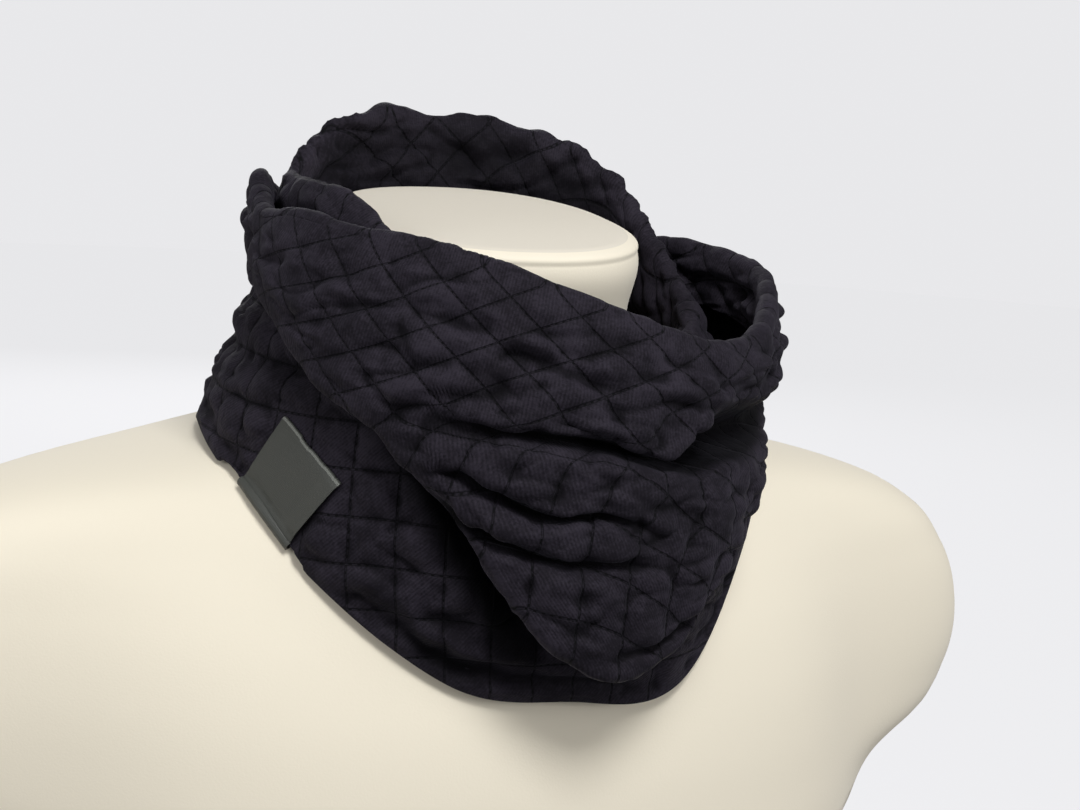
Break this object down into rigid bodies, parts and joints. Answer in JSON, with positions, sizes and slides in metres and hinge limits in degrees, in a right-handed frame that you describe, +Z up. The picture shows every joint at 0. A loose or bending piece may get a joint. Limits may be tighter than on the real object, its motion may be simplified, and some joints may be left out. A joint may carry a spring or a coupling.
{
  "type": "cowl scarf on limbless dress form",
  "caption": "Quilted black jersey cowl scarf, worn slouched in soft folds round the neck of a limbless cream dress form.",
  "frame": {"origin": "centre of the form's flat base, on the surface it stands on", "axes": "+Z up, the form faces -Y, its wearer's left is +X"},
  "size_m": [0.5414, 0.2961, 0.5345],
  "materials": {
    "form_jersey": "cream cotton jersey stretched over the padded form, matt",
    "quilted_jersey": "black cotton jersey, thinly wadded and stitched in diamonds",
    "woven_label": "charcoal woven satin label, bare"
  },
  "bodies": {
    "root": {"dress_form": "form_jersey", "cowl_tube": "quilted_jersey", "front_drape": "quilted_jersey", "edge_label": "woven_label"}
  },
  "joints": []
}
